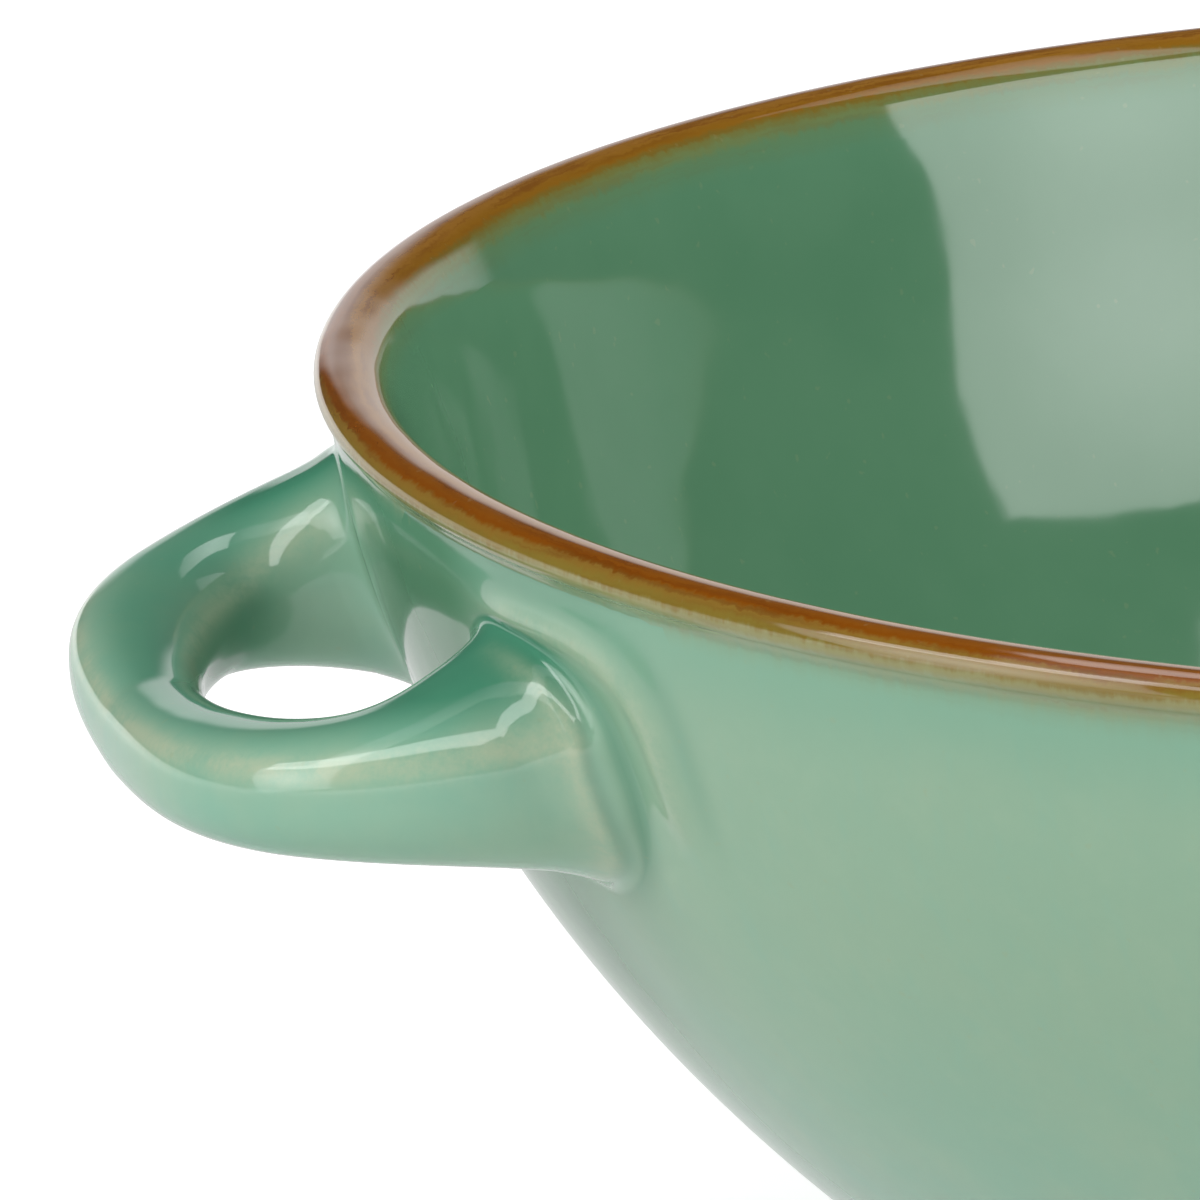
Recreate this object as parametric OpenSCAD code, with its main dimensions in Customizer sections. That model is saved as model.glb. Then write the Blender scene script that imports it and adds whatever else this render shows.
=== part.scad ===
// Lug soup bowl: a round stoneware bowl on a foot ring, with a loop handle on each
// side and a brown glaze coat over the lip. Sizes are in millimetres, +Z is up, the
// origin is on the table under the bowl's axis, and the handles point along X.

/* [Bowl] */
// Outside diameter at the widest line of the lip
rim_d = 140; // [120:1:170]
// Height from the table to the crown of the lip
bowl_h = 57; // [52:1:75]
// How far the outer wall stands in from the widest line of the lip
wall_setback = 0.8; // [0.6:0.1:1.1]
// How far below the table the outer wall's curve would close
curve_drop = 4; // [3:0.2:6]
// Thickness of the floor inside the foot ring
floor_t = 3.8; // [3.2:0.1:6]

/* [Lip] */
// Thickness of the lip at its widest line
lip_t = 3.4; // [3:0.1:4.5]
// Distance from the lip's crown to its outer face
lip_out = 1.3; // [1:0.1:1.5]
// Height of the crown above the widest line
crown_h = 1.1; // [0.9:0.1:1.6]
// How far the inner wall flares outward at the lip
lip_flare = 2; // [1.2:0.05:2.5]
// Height over which most of the flare dies away
flare_h = 3.7; // [3:0.1:6]
// Depth of the rounded underside of the lip
underside_h = 0.9; // [0.7:0.1:1.2]
// Thickness of the brown glaze coat
coat_t = 0.5; // [0.3:0.1:0.7]
// How far the brown coat runs down outside, below the widest line
coat_out_h = 1.3; // [1.1:0.1:2.5]
// How far the brown coat runs down inside, below the widest line
coat_in_h = 1.7; // [1.1:0.1:3]

/* [Foot] */
// Diameter of the foot ring where it meets the bowl
foot_d = 64; // [56:1:72]
// Width of the foot ring where it meets the bowl
foot_w = 5; // [4.2:0.1:6.5]
// How far each side of the foot ring leans in towards the table
foot_lean = 0.7; // [0.4:0.1:0.9]
// Radius of the foot ring's edges at the table
foot_edge_r = 0.7; // [0.4:0.1:0.9]

/* [Handles] */
// How far a handle stands out beyond the lip
handle_out = 12.4; // [11.4:0.2:18]
// Distance between the centres of a handle's two arms at the wall
arm_spread = 35.6; // [34.6:0.2:42]
// Angle at which the arms toe in towards the wall
arm_splay_angle = 12.5; // [5:0.5:14]
// Length of the pull that rounds the loop's tip
tip_pull = 12.8; // [11:0.2:15]
// Length of the pull that carries an arm out from the wall
arm_pull = 10.4; // [9:0.1:11.5]
// Thickness of the loop at its tip, seen from above
tip_t = 5.5; // [4.5:0.1:6]
// Thickness of an arm half way along, seen from above
arm_t = 8; // [7.2:0.1:8.8]
// Thickness of an arm at the wall, seen from above
root_t = 11; // [10:0.1:11.8]
// Height of the loop at its tip
tip_h = 5.2; // [4.4:0.1:6]
// Height of an arm half way along
arm_h = 5.9; // [5.2:0.1:7.2]
// Height of an arm at the wall
root_h = 12.3; // [10:0.1:12.9]
// Depth of an arm's widest line below the lip's, at the wall
root_drop = 10; // [9.7:0.1:12]
// Depth of the tip's widest line below the lip's
tip_drop = 12.6; // [10:0.1:14]

/* [Slip joints] */
// How far a collar of slip spreads over the wall around an arm
collar_reach = 2.5; // [2:0.1:2.7]
// How far a collar climbs along an arm
collar_climb = 2.8; // [2:0.1:3.4]
// Thickness of a collar's outer edge
collar_edge_t = 0.3; // [0.2:0.05:0.5]

/* [Hidden] */

// Steps of the round shapes
round_steps = 180;
wall_steps = 26;
lip_steps = 8;
edge_steps = 5;
side_steps = 32;
arm_steps = 15;
cap_steps = 4;
fillet_steps = 5;
$fn = round_steps;

// Film of fired slip between a handle and the wall, and round a collar
slip_film = 0.02;

// Powers of the curves, which are pure numbers: 2 gives an ellipse
outer_power_share = 1.72;
inner_power_share = 2;
arm_top_power_share = 1.95;
arm_bottom_power_share = 2.6;
arm_rise_power_share = 1.2;
arm_flare_power_share = 2.7;

// Share of an arm's height that is above its widest line
arm_top_share = 0.46;
// Share of the way to the wall at which an arm has its middle section
arm_middle_share = 0.53;
// Share of the way to the wall at which an arm starts to flare
flare_start_share = 0.31;
// Share of the way to the wall at which an arm starts to follow the wall's curve
seat_start_share = 0.5;

// Lip and wall
lip_z = bowl_h - crown_h;
lip_r = rim_d / 2;
crown_r = lip_r - lip_out;
lip_edge_r = lip_r - lip_t;
bore_r = lip_edge_r - lip_flare;
wall_top_r = lip_r - wall_setback;
outer_depth = lip_z + curve_drop;
coat_out_z = lip_z - coat_out_h;
coat_in_z = lip_z - coat_in_h;
underside_angle = 50;

// Foot and floor
foot_r = foot_d / 2;
foot_bore_r = foot_r - foot_w;
base_z = wall_z(foot_bore_r);
floor_z = base_z + floor_t;
inner_depth = lip_z - floor_z;

// Path of an arm, seen from above, from the tip out to the wall
tip_u = lip_r + handle_out - tip_t / 2;
root_z = lip_z - root_drop;
tip_z = lip_z - tip_drop;
root_w = arm_spread / 2;
root_u = wall_u(root_w, root_z);
path_points = [
    [tip_u, 0],
    [tip_u, tip_pull],
    [root_u + arm_pull * cos(arm_splay_angle), root_w + arm_pull * sin(arm_splay_angle)],
    [root_u, root_w]
];
// Share of the way to the wall at which a collar starts
collar_start_share = 1 - collar_climb / (3 * arm_pull);

// Colours of the glazes and of the bare clay
green_glaze = [0.45, 0.63, 0.53];
brown_glaze = [0.50, 0.30, 0.09];
bare_clay = [0.78, 0.69, 0.56];

// Radius of the outer wall at a height
function wall_r(z) =
    wall_top_r * pow(1 - pow((lip_z - z) / outer_depth, outer_power_share), 1 / outer_power_share);

// Height of the outer wall at a radius
function wall_z(r) =
    lip_z - outer_depth * pow(1 - pow(r / wall_top_r, outer_power_share), 1 / outer_power_share);

// Outward flare of the inner wall at a height
function flare_out(z) = lip_flare * exp((z - lip_z) / flare_h);

// Radius of the inner wall at a height
function bore_wall_r(z) =
    bore_r * pow(1 - pow((lip_z - z) / inner_depth, inner_power_share), 1 / inner_power_share) + flare_out(z);

// Distance of the outer wall from the plane through the axis, at a place across and a height
function wall_u(w, z) = sqrt(pow(wall_r(z) + slip_film, 2) - w * w);

// A number's power, with the number's sign kept
function signed_power(value, power) = sign(value) * pow(abs(value), power);

// A share from 0 to 1 that eases in and out between two shares
function ease(q, from, to) = let (s = min(1, max(0, (q - from) / (to - from)))) s * s * (3 - 2 * s);

// The curve through four control points, and its direction
function curve_at(p, q) =
    pow(1 - q, 3) * p[0] + 3 * pow(1 - q, 2) * q * p[1] + 3 * (1 - q) * q * q * p[2] + pow(q, 3) * p[3];
function curve_way(p, q) =
    pow(1 - q, 2) * (p[1] - p[0]) + 2 * (1 - q) * q * (p[2] - p[1]) + q * q * (p[3] - p[2]);

// Half the thickness and the height of an arm, a share q of the way from tip to wall
function flare(q) = pow(max(0, (q - flare_start_share) / (1 - flare_start_share)), arm_flare_power_share);
function arm_half_t(q) =
    (tip_t + (arm_t - tip_t) * ease(q, 0, arm_middle_share) + (root_t - arm_t) * flare(q)) / 2;
function arm_full_h(q) =
    tip_h + (arm_h - tip_h) * ease(q, 0, arm_middle_share) + (root_h - arm_h) * flare(q);

// A point of an arm's skin as [out, across, up], before it is seated on the wall
function free_point(q, a) =
    let (p = curve_at(path_points, q))
    let (way = curve_way(path_points, q))
    let (side = [way[1], -way[0]] / norm(way))
    let (power = 2 / (sin(a) < 0 ? arm_bottom_power_share : arm_top_power_share))
    let (out = side * arm_half_t(q) * signed_power(cos(a), power))
    let (share = sin(a) < 0 ? 1 - arm_top_share : arm_top_share)
    let (up = arm_full_h(q) * share * signed_power(sin(a), power))
    let (z = tip_z + (root_z - tip_z) * pow(q, arm_rise_power_share))
    [p[0] + out[0], p[1] + out[1], z + up];

// The same point, with the arm's end drawn on to the wall
function arm_point(q, a) =
    let (free = free_point(q, a))
    let (end = free_point(1, a))
    let (shift = wall_u(end[1], end[2]) - end[0])
    [free[0] + shift * ease(q, seat_start_share, 1), free[1], free[2]];

// A point of the arm's end face, which lies on the wall, a share s out from its middle
function seat_point(s, a) =
    let (end = free_point(1, a))
    let (w = root_w + s * (end[1] - root_w))
    let (z = root_z + s * (end[2] - root_z))
    [wall_u(w, z), w, z];

function side_angle(j) = 360 * j / side_steps;
function ring(q) = [for (j = [0:side_steps - 1]) arm_point(q, side_angle(j))];
function seat_ring(s) = [for (j = [0:side_steps - 1]) seat_point(s, side_angle(j))];
function mirrored(points) = [for (p = points) [p[0], -p[1], p[2]]];

// Triangles between ring i and ring i + 1, split along one diagonal or the other
function ring_faces(i, rings, falling) = [
    for (j = [0:side_steps - 1])
        let (a = i * side_steps + j)
        let (b = i * side_steps + (j + 1) % side_steps)
        let (c = (i + 1) % rings * side_steps + (j + 1) % side_steps)
        let (d = (i + 1) % rings * side_steps + j)
        each falling ? [[a, b, c], [a, c, d]] : [[a, b, d], [b, c, d]]
];

// Shares of the way from tip to wall at which an arm has a ring
arm_shares = concat(
    [for (i = [0:arm_steps - 1]) collar_start_share * i / arm_steps],
    [collar_start_share, (collar_start_share + 1) / 2, 1]
);

module bowl_body() {
    color(green_glaze)
        rotate_extrude()
            polygon(concat(
                [[0, base_z]],
                outer_wall_points(foot_bore_r, coat_out_z),
                coat_seat_points(),
                inner_wall_points(coat_in_z),
                [[0, floor_z]]
            ));
}

// Points up the outer wall, from a radius at the foot to a height under the lip
function outer_wall_points(from_r, to_z) =
    let (from_a = acos(pow(from_r / wall_top_r, outer_power_share / 2)))
    let (to_a = asin(pow((lip_z - to_z) / outer_depth, outer_power_share / 2)))
    [for (i = [0:wall_steps])
        let (a = from_a + (to_a - from_a) * i / wall_steps)
        [wall_top_r * pow(cos(a), 2 / outer_power_share),
         lip_z - outer_depth * pow(sin(a), 2 / outer_power_share)]];

// Points down the inner wall, from a height under the lip to the floor
function inner_wall_points(from_z) =
    let (from_a = asin(pow((lip_z - from_z) / inner_depth, inner_power_share / 2)))
    [for (i = [0:wall_steps - 1])
        let (a = from_a + (90 - from_a) * i / wall_steps)
        let (z = lip_z - inner_depth * pow(sin(a), 2 / inner_power_share))
        [bore_r * pow(cos(a), 2 / inner_power_share) + flare_out(z), z]];

// A point of the lip's inner side, a share s of the way from the crown to the lip's inner edge,
// some way in from its skin: it leaves the crown level and meets the wall along its flare
function lip_inside_point(s, inset) =
    let (top = lip_z + crown_h - inset)
    let (edge = lip_edge_r + inset)
    let (bend = edge + (top - lip_z) * lip_flare / flare_h)
    [pow(1 - s, 2) * crown_r + 2 * s * (1 - s) * bend + s * s * edge, (1 - s * s) * top + s * s * lip_z];

// Points over the clay lip, under the brown coat, from outside to inside
function coat_seat_points() = concat(
    [[wall_r(coat_out_z) - coat_t, coat_out_z]],
    [for (i = [0:lip_steps])
        let (a = 90 * i / lip_steps)
        [crown_r + (lip_out - coat_t) * cos(a), lip_z + (crown_h - coat_t) * sin(a)]],
    [for (i = [1:lip_steps]) lip_inside_point(i / lip_steps, coat_t)],
    [[bore_wall_r(coat_in_z) + coat_t, coat_in_z]]
);

// Points over the brown coat, from inside to outside
function coat_skin_points() = concat(
    [[bore_wall_r(coat_in_z), coat_in_z]],
    [for (i = [0:lip_steps]) lip_inside_point(1 - i / lip_steps, 0)],
    [for (i = [1:lip_steps])
        let (a = 90 - 90 * i / lip_steps)
        [crown_r + lip_out * cos(a), lip_z + crown_h * sin(a)]],
    [for (i = [1:edge_steps])
        let (a = -underside_angle * i / edge_steps)
        [crown_r + lip_out * cos(a), lip_z + underside_h * sin(a)]],
    [[wall_r(coat_out_z), coat_out_z]]
);

module rim_glaze_coat() {
    color(brown_glaze)
        rotate_extrude()
            polygon(concat(coat_seat_points(), coat_skin_points()));
}

// Points round an edge of the foot ring, from one angle to another
function foot_edge_points(r, from_a, to_a) = [
    for (i = [0:edge_steps])
        let (a = from_a + (to_a - from_a) * i / edge_steps)
        [r + foot_edge_r * cos(a), foot_edge_r + foot_edge_r * sin(a)]
];

module foot_ring() {
    color(bare_clay)
        rotate_extrude()
            polygon(concat(
                outer_wall_points(foot_bore_r, wall_z(foot_r)),
                foot_edge_points(foot_r - foot_lean - foot_edge_r, 0, -90),
                foot_edge_points(foot_bore_r + foot_lean + foot_edge_r, -90, -180)
            ));
}

// A loop handle that points along +X, its two end faces on the wall
module handle() {
    half = [for (q = arm_shares) ring(q)];
    seats = [for (k = [1:cap_steps - 1]) seat_ring(1 - k / cap_steps)];
    near = concat(half, seats);
    far = [for (i = [len(near) - 1:-1:1]) mirrored(near[i])];
    rings = concat(far, near);
    skin = [for (r = rings) each r];
    last = (len(rings) - 1) * side_steps;
    middle = seat_point(0, 0);
    far_pole = len(skin);
    near_pole = far_pole + 1;
    faces = concat(
        [for (i = [0:len(rings) - 2]) each ring_faces(i, len(rings), i >= len(far))],
        [for (j = [0:side_steps - 1]) [(j + 1) % side_steps, j, far_pole]],
        [for (j = [0:side_steps - 1]) [last + j, last + (j + 1) % side_steps, near_pole]]
    );
    color(green_glaze)
        polyhedron(concat(skin, mirrored([middle]), [middle]), faces);
}

module left_handle() {
    rotate([0, 0, 180])
        handle();
}

module right_handle() {
    handle();
}

// A point on the wall beside an arm's end, a distance away from its outline
function beside_seat(j, away) =
    let (here = free_point(1, side_angle(j)))
    let (ahead = free_point(1, side_angle(j + 1)))
    let (behind = free_point(1, side_angle(j - 1)))
    let (run = [ahead[1] - behind[1], ahead[2] - behind[2]])
    let (out = [run[1], -run[0]] / norm(run))
    let (w = here[1] + away * out[0])
    let (z = here[2] + away * out[1])
    [wall_u(w, z), w, z];

// The way out from the wall at a point on it
function wall_normal(p) =
    let (step = collar_edge_t)
    let (fall = (wall_r(p[2] + step) - wall_r(p[2] - step)) / (2 * step))
    let (radial = norm([p[0], p[1]]))
    let (n = [p[0] / radial, p[1] / radial, -fall])
    n / norm(n);

// A collar of slip around the arm on the +Y side of the +X handle
module collar() {
    foot = [for (j = [0:side_steps - 1]) beside_seat(j, collar_reach)];
    edge = [for (p = foot) p + collar_edge_t * wall_normal(p)];
    start = ring(collar_start_share);
    corner = ring(1);
    fillet = [for (k = [1:fillet_steps - 1])
        let (v = k / fillet_steps)
        pow(1 - v, 2) * start + 2 * v * (1 - v) * corner + v * v * edge];
    under = [for (j = [0:side_steps - 1]) beside_seat(j, collar_reach / 2)];
    rings = concat([corner, ring((collar_start_share + 1) / 2), start], fillet, [edge, foot, under]);
    faces = [for (i = [0:len(rings) - 1]) each ring_faces(i, len(rings), false)];
    color(green_glaze)
        polyhedron([for (r = rings) each r], faces);
}

module right_rear_collar() {
    collar();
}

module right_front_collar() {
    mirror([0, 1, 0])
        collar();
}

module left_front_collar() {
    rotate([0, 0, 180])
        collar();
}

module left_rear_collar() {
    rotate([0, 0, 180])
        mirror([0, 1, 0])
            collar();
}

bowl_body();
rim_glaze_coat();
foot_ring();
left_handle();
right_handle();
left_front_collar();
left_rear_collar();
right_front_collar();
right_rear_collar();
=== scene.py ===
"""Looks of the lug soup bowl: a glazed stoneware bowl on a foot ring, with a loop handle on
each side. The shapes repeat the CAD model's curves with finer steps, in millimetres."""
import math

import bpy
import numpy as np
from mathutils import Matrix, Vector


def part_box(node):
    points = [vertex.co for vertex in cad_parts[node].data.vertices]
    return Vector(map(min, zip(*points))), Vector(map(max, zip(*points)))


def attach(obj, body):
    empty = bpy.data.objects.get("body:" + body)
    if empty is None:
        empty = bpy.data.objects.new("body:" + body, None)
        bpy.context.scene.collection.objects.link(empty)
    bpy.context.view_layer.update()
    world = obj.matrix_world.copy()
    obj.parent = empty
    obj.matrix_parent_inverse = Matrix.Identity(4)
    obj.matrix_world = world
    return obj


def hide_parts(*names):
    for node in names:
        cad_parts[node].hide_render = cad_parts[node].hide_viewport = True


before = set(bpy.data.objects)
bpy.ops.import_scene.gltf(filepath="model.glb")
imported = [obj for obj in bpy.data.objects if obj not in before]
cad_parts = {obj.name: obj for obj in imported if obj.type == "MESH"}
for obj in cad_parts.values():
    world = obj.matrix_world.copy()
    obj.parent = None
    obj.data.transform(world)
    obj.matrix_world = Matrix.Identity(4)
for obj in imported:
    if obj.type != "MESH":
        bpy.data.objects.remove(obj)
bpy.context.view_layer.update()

MM = 0.001

# Sizes, as in the CAD model
coat_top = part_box("rim_glaze_coat")[1]
LIP_R = coat_top.x / MM
BOWL_H = coat_top.z / MM
CROWN_H, LIP_OUT, UNDERSIDE_H = 1.1, 1.3, 0.9
LIP_T, LIP_FLARE, FLARE_H = 3.4, 2.0, 3.7
WALL_SETBACK, CURVE_DROP, FLOOR_T = 0.8, 4.0, 3.8
LIP_Z = BOWL_H - CROWN_H
CROWN_R = LIP_R - LIP_OUT
LIP_EDGE_R = LIP_R - LIP_T
BORE_R = LIP_EDGE_R - LIP_FLARE
WALL_R = LIP_R - WALL_SETBACK
OUTER_DEPTH, OUTER_P, INNER_P = LIP_Z + CURVE_DROP, 1.72, 2.0
COAT_T, COAT_OUT_Z, COAT_IN_Z = 0.5, LIP_Z - 1.3, LIP_Z - 1.7
FOOT_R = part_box("foot_ring")[1].x / MM
FOOT_W, FOOT_LEAN, FOOT_EDGE_R = 5.0, 0.7, 0.7
FOOT_BORE_R = FOOT_R - FOOT_W
HANDLE_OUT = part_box("right_handle")[1].x / MM - LIP_R
TIP_T, ARM_T, ROOT_T = 5.5, 8.0, 11.0
TIP_H, ARM_H, ROOT_H = 5.2, 5.9, 12.3
ROOT_Z, TIP_Z = LIP_Z - 10.0, LIP_Z - 12.6
ROOT_W, SPLAY, TIP_PULL, ARM_PULL = 17.8, math.radians(12.5), 12.8, 10.4
# Powers of an arm's section at its top, outer top corner and bottom, then of its rise and flare
TOP_P, CREST_P, BOTTOM_P, RISE_P, FLARE_P = 1.95, 2.3, 2.6, 1.2, 2.7
# Share of its height above its middle line, ways along at which it is full and starts to flare, and
# how much its top tilts outwards at the root
TOP_SHARE, MIDDLE, FLARE_FROM, TOP_FALL = 0.46, 0.53, 0.31, 2.0
COLLAR_CLIMB, SLIP_T = 2.8, 0.02
COLLAR_Q = 1 - COLLAR_CLIMB / (3 * ARM_PULL)
# Share of the way to the wall from which an arm grows towards its root, and how far its heel rises
GROW_FROM, HEEL_RISE = 0.6, 0.9
# Soft bead on the wall round a root: its middle's way round the wall and drop, and its half sizes
BEAD_ARC, BEAD_DROP, BEAD_HALF_W, BEAD_HALF_H, BEAD_H = 20.0, 10.6, 8.3, 7.0, 0.32
# Points round an arm, round the bowl, and down each side of its wall
SIDES, TURN_STEPS, WALL_STEPS = 96, 288, 110
FLIP = np.array([1, -1, 1])
# Way over the lip from its crown to its widest line, inside and outside
RUN_IN, RUN_OUT = 2.5, 1.9


def wall_r(z):
    return WALL_R * (1 - ((LIP_Z - z) / OUTER_DEPTH) ** OUTER_P) ** (1 / OUTER_P)


def wall_z(r):
    return LIP_Z - OUTER_DEPTH * (1 - (r / WALL_R) ** OUTER_P) ** (1 / OUTER_P)


BASE_Z = wall_z(FOOT_BORE_R)
FLOOR_Z = BASE_Z + FLOOR_T
INNER_DEPTH = LIP_Z - FLOOR_Z


def bore_r(z):
    inside = 1 - ((LIP_Z - z) / INNER_DEPTH) ** INNER_P
    return BORE_R * np.maximum(0, inside) ** (1 / INNER_P) + LIP_FLARE * np.exp((z - LIP_Z) / FLARE_H)


def wall_u(w, z, lift=SLIP_T):
    """How far out the wall stands at a place w along it and a height z, with a film over it."""
    return np.sqrt((wall_r(z) + lift) ** 2 - w * w)


ROOT_U = float(wall_u(ROOT_W, ROOT_Z))
PATH = np.array([[LIP_R + HANDLE_OUT - TIP_T / 2, 0], [LIP_R + HANDLE_OUT - TIP_T / 2, TIP_PULL],
                 [ROOT_U + ARM_PULL * math.cos(SPLAY), ROOT_W + ARM_PULL * math.sin(SPLAY)],
                 [ROOT_U, ROOT_W]])


def ease(q, start, end):
    s = np.clip((q - start) / (end - start), 0, 1)
    return s * s * (3 - 2 * s)


def signed_power(value, power):
    return np.sign(value) * np.abs(value) ** power


def tilt_part(a):
    """How far the tilt of an arm's top lowers it at each angle: it falls towards the outer side."""
    return (0.15 + 0.5 * np.cos(a)) * ease(np.sin(a), -0.1, 0.5)


def free_points(q, a, tilt=1.0):
    """Skin of an arm at shares q of the way to the wall and angles a, before it is seated."""
    q, a = np.meshgrid(q, a, indexing="ij")
    share = q[..., None]
    p = ((1 - share) ** 3 * PATH[0] + 3 * (1 - share) ** 2 * share * PATH[1]
         + 3 * (1 - share) * share ** 2 * PATH[2] + share ** 3 * PATH[3])
    way = ((1 - share) ** 2 * (PATH[1] - PATH[0]) + 2 * (1 - share) * share * (PATH[2] - PATH[1])
           + share ** 2 * (PATH[3] - PATH[2]))
    side = np.stack([way[..., 1], -way[..., 0]], -1) / np.linalg.norm(way, axis=-1, keepdims=True)
    flare = np.maximum(0, (q - FLARE_FROM) / (1 - FLARE_FROM)) ** FLARE_P
    half_t = (TIP_T + (ARM_T - TIP_T) * ease(q, 0, MIDDLE) + (ROOT_T - ARM_T) * flare) / 2
    full_h = TIP_H + (ARM_H - TIP_H) * ease(q, 0, MIDDLE) + (ROOT_H - ARM_H) * flare
    low, outer, grown = np.sin(a) < 0, np.cos(a) > 0, ease(q, GROW_FROM, 1)
    power = 2 / np.where(outer, np.where(low, BOTTOM_P - 0.4 * grown, CREST_P + 0.7 * grown),
                         np.where(low, BOTTOM_P, TOP_P))
    out = half_t * signed_power(np.cos(a), power)
    up = full_h * np.where(low, 1 - TOP_SHARE, TOP_SHARE) * signed_power(np.sin(a), power)
    fall = tilt * TOP_FALL * np.clip((q - 0.55) / 0.45, 0, 1) ** 1.5 * tilt_part(a)
    lift = HEEL_RISE * grown ** 2 * np.clip(np.cos(a), 0, 1) * np.clip(-np.sin(a), 0, 1)
    z = TIP_Z + (ROOT_Z - TIP_Z) * q ** RISE_P + up - fall + lift
    return np.concatenate([p + out[..., None] * side, z[..., None]], -1)


def arm_points(q, a):
    free = free_points(q, a)
    end = free_points(np.array([1.0]), a)[0]
    shift = wall_u(end[:, 1], end[:, 2]) - end[:, 0]
    free[..., 0] += shift[None, :] * ease(q, 0.5, 1)[:, None]
    return free


def wall_normals(p):
    fall = (wall_r(p[..., 2] + 0.05) - wall_r(p[..., 2] - 0.05)) / 0.1
    radial = np.hypot(p[..., 0], p[..., 1])
    n = np.stack([p[..., 0] / radial, p[..., 1] / radial, -fall], -1)
    return n / np.linalg.norm(n, axis=-1, keepdims=True)


# Meshes from grids of points
def grid_object(name, rows, normals, wrap_rows=False, caps=(), values=None):
    """A tube of rings; its UV map unrolls it, and values are float attributes by point."""
    count, sides = rows.shape[:2]
    verts = [tuple(p) for p in rows.reshape(-1, 3) * MM]
    faces = []
    for i in range(count if wrap_rows else count - 1):
        n = (i + 1) % count
        for j in range(sides):
            k = (j + 1) % sides
            faces.append((i * sides + j, i * sides + k, n * sides + k, n * sides + j))
    uv_quads = len(faces)
    for row, point in caps:
        pole = len(verts)
        verts.append(tuple(np.array(point) * MM))
        for j in range(sides):
            k = (j + 1) % sides
            a, b = row * sides + j, row * sides + k
            faces.append((b, a, pole) if row == 0 else (a, b, pole))
    mesh = bpy.data.meshes.new(name)
    mesh.from_pydata(verts, [], faces)
    for item, data in (values or {}).items():
        full = np.zeros(len(verts), np.float32)
        full[:count * sides] = np.asarray(data, np.float32).reshape(-1)
        mesh.attributes.new(item, "FLOAT", "POINT").data.foreach_set("value", full)
    along = np.linalg.norm(np.diff(rows, axis=0), axis=-1).mean(1)
    v_at = np.concatenate([[0], np.cumsum(along)])
    if wrap_rows:
        v_at = np.append(v_at, v_at[-1] + np.linalg.norm(rows[0] - rows[-1], axis=-1).mean())
    v_at = 0.02 + 0.93 * v_at / v_at[-1]
    uv = np.zeros((len(mesh.loops), 2), np.float32)
    at = 0
    for f in range(uv_quads):
        i, j = divmod(f, sides)
        u0, u1 = 0.01 + 0.98 * j / sides, 0.01 + 0.98 * (j + 1) / sides
        uv[at:at + 4] = [(u0, v_at[i]), (u1, v_at[i]), (u1, v_at[i + 1]), (u0, v_at[i + 1])]
        at += 4
    for c in range(len(caps)):
        for j in range(sides):
            a0, a1 = 2 * math.pi * j / sides, 2 * math.pi * (j + 1) / sides
            mid = np.array([0.25 + 0.5 * c, 0.975])
            uv[at:at + 3] = [mid + 0.01 * np.array([math.cos(a0), math.sin(a0)]),
                             mid + 0.01 * np.array([math.cos(a1), math.sin(a1)]), mid]
            at += 3
    mesh.uv_layers.new(name="OFBake").data.foreach_set("uv", uv.reshape(-1))
    mesh.update()
    mesh.shade_smooth()
    flat = list(map(tuple, normals.reshape(-1, 3)))
    flat += [tuple(mesh.vertices[i].normal) for i in range(count * sides, len(verts))]
    mesh.normals_split_custom_set_from_vertices(flat)
    obj = bpy.data.objects.new(name, mesh)
    bpy.context.scene.collection.objects.link(obj)
    return obj


def profile_normals(profile, runs):
    """Normals of a turned profile, smooth within each run of points and broken between runs."""
    out = np.zeros_like(profile)
    for start, end in runs:
        piece = profile[start:end]
        step = np.gradient(piece, axis=0)
        out[start:end] = np.stack([step[:, 1], -step[:, 0]], 1)
    return out / np.maximum(np.linalg.norm(out, axis=1, keepdims=True), 1e-9)


def turned(flat):
    """Points or directions (radius, height), turned around the axis."""
    angle = np.arange(TURN_STEPS) * 2 * math.pi / TURN_STEPS
    return np.stack([flat[:, :1] * np.cos(angle), flat[:, :1] * np.sin(angle),
                     np.repeat(flat[:, 1:], TURN_STEPS, 1)], -1)


def lathe(name, profile, runs, closed=False, values=None, caps=()):
    """Turns (radius, height) points around the axis. Values are given by profile point."""
    spread = {k: np.repeat(np.asarray(v)[:, None], TURN_STEPS, 1) for k, v in (values or {}).items()}
    normals = turned(profile_normals(profile, runs))
    return grid_object(name, turned(profile), normals, wrap_rows=closed, values=spread, caps=caps)


def dress(obj, slot, *nodes):
    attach(obj, "root")
    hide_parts(*nodes)
    return obj


# Bowl, coat and foot
def outer_wall(from_r, to_z, count):
    start = math.acos((from_r / WALL_R) ** (OUTER_P / 2))
    end = math.asin(((LIP_Z - to_z) / OUTER_DEPTH) ** (OUTER_P / 2))
    a = start + (end - start) * np.linspace(0, 1, count)
    return np.stack([WALL_R * np.cos(a) ** (2 / OUTER_P),
                     LIP_Z - OUTER_DEPTH * np.sin(a) ** (2 / OUTER_P)], 1)


def inner_wall(from_z, count):
    start = math.asin(((LIP_Z - from_z) / INNER_DEPTH) ** (INNER_P / 2))
    a = start + (math.pi / 2 - start) * np.linspace(0, 1, count + 1)[:-1]
    z = LIP_Z - INNER_DEPTH * np.sin(a) ** (2 / INNER_P)
    return np.stack([bore_r(z), z], 1)


def lip_inside(count, inset):
    top, edge = LIP_Z + CROWN_H - inset, LIP_EDGE_R + inset
    bend = edge + (top - LIP_Z) * LIP_FLARE / FLARE_H
    s = np.linspace(0, 1, count)
    return np.stack([(1 - s) ** 2 * CROWN_R + 2 * s * (1 - s) * bend + s * s * edge,
                     (1 - s * s) * top + s * s * LIP_Z], 1)


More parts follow.
